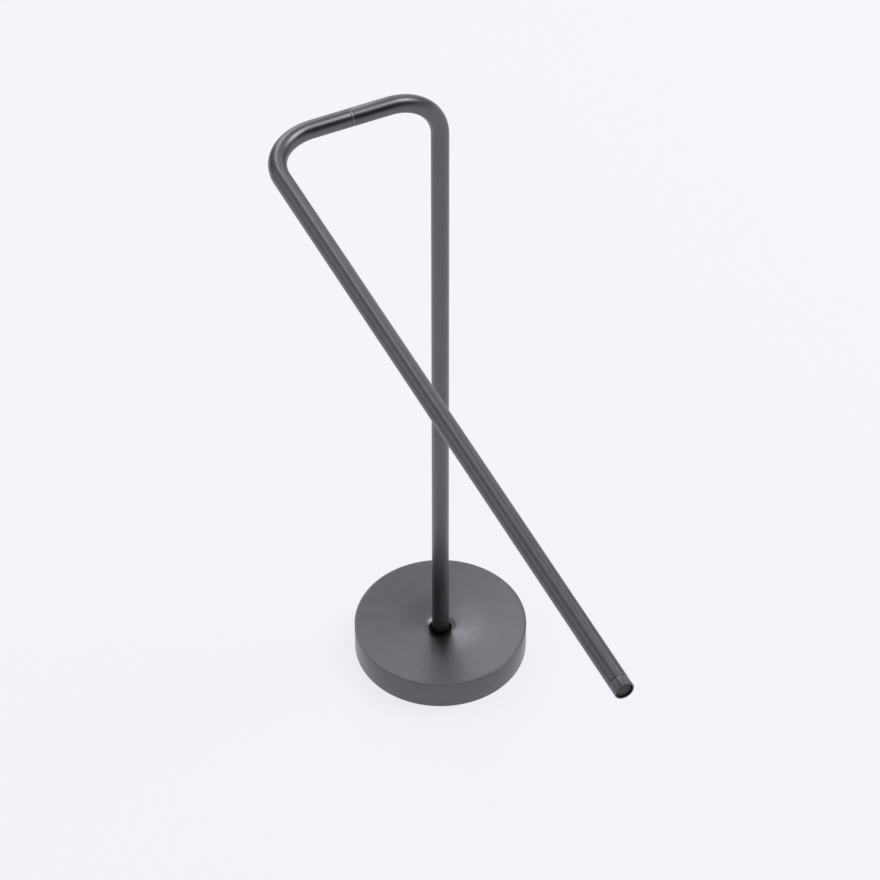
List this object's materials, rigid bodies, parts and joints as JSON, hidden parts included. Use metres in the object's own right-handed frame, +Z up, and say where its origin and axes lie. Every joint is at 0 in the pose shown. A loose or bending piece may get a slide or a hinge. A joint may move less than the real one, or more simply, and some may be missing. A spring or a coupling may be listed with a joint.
{
  "type": "paper towel holder",
  "caption": "Free-standing paper towel holder: weighted round base, bent tube post and a long arm of the same tube that swings about the top bar.",
  "frame": {"origin": "on the table, on the axis of the post, at the centre of the base's underside", "axes": "+Z up along the post; the top bar runs from the post towards -X; the arm is swung out to the horizontal along -Y"},
  "size_m": [0.1925, 0.5695, 0.524],
  "materials": {
    "powder_coat": "satin dark grey powder coat",
    "cast_iron": "as cast, primed",
    "zinc_steel": "zinc plated",
    "spring_steel": "blackened",
    "bearing_bronze": "sintered bronze, oiled",
    "washer_nylon": "natural grey nylon",
    "black_rubber": "matt black"
  },
  "bodies": {
    "holder": {"base_cover": "powder_coat", "ballast_disc": "cast_iron", "bottom_plate": "zinc_steel", "anti_slip_pad": "black_rubber", "post_grommet": "black_rubber", "cover_standoff_1": "zinc_steel", "cover_standoff_2": "zinc_steel", "cover_standoff_3": "zinc_steel", "plate_screw_1": "zinc_steel", "plate_screw_2": "zinc_steel", "plate_screw_3": "zinc_steel", "post_bolt": "zinc_steel", "post_bolt_washer": "spring_steel", "post_foot_plug": "zinc_steel", "post_tube": "powder_coat", "swivel_housing": "zinc_steel", "swivel_bush_seam": "bearing_bronze", "swivel_bush_post": "bearing_bronze", "seam_washer": "washer_nylon", "disc_spring_1": "spring_steel", "disc_spring_2": "spring_steel", "housing_grub_screw": "spring_steel"},
    "arm": {"swivel_spindle": "zinc_steel", "spindle_nut": "zinc_steel", "spindle_grub_screw": "spring_steel", "arm_tube": "powder_coat", "arm_end_cap": "powder_coat", "end_cap_pad": "black_rubber"}
  },
  "joints": [
    {"name": "arm_swivel", "type": "hinge", "parent": "holder", "child": "arm", "pos_m": [-0.0625, 0, 0.518], "axis": [1, 0, 0], "continuous": true}
  ]
}
